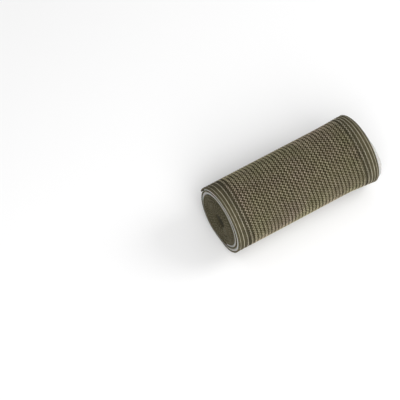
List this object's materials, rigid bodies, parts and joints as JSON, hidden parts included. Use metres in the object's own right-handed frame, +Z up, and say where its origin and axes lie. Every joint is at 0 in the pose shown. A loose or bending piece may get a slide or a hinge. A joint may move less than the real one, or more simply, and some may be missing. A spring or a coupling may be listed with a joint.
{
  "type": "elastic bandage",
  "caption": "Rolled ribbed elastic bandage in olive brown, with a soft white dressing pad wound in under its last turns.",
  "frame": {"origin": "on the flat that the roll rests on, under the middle of the strip's width", "axes": "+X along the roll towards its far end in the picture, where the pad's edge shows, +Z up from the resting face, +Y to the back, where the strip's free end lies"},
  "size_m": [0.1539, 0.0683, 0.0649],
  "materials": {
    "elastic_cloth": "matte ribbed knit",
    "pad_cloth": "soft nonwoven",
    "hook_tape": "woven tape with short hooks"
  },
  "bodies": {
    "root": {"elastic_bandage": "elastic_cloth", "dressing_pad": "pad_cloth", "hook_strip": "hook_tape"}
  },
  "joints": []
}
